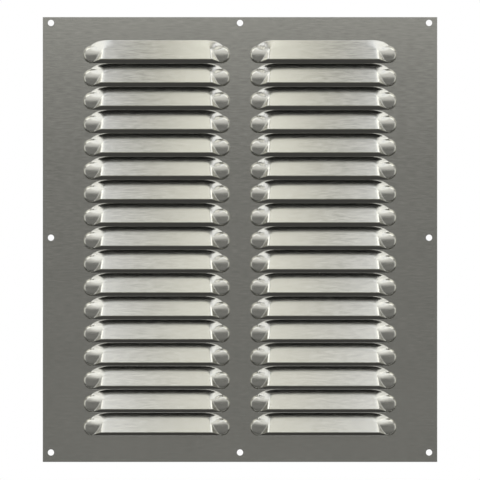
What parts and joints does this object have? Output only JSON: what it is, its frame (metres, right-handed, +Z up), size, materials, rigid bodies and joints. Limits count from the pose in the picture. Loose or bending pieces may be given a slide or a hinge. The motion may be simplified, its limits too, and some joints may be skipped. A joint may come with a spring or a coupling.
{
  "type": "louvred ventilation grille",
  "caption": "Flat rectangular sheet-metal grille with columns of downward-opening pressed louvres and screw holes along its edges, fixed over a vent opening in a wall.",
  "frame": {"origin": "centre of the plate's back face, which lies on the wall", "axes": "+Z up, +X to the right as seen from the front, +Y into the wall; the louvres stand out towards -Y and open downwards"},
  "size_m": [0.266, 0.0075, 0.3],
  "materials": {
    "sheet_steel": "satin mill finish with a fine grain along the louvres"
  },
  "bodies": {
    "root": {"grille": "sheet_steel"}
  },
  "joints": []
}
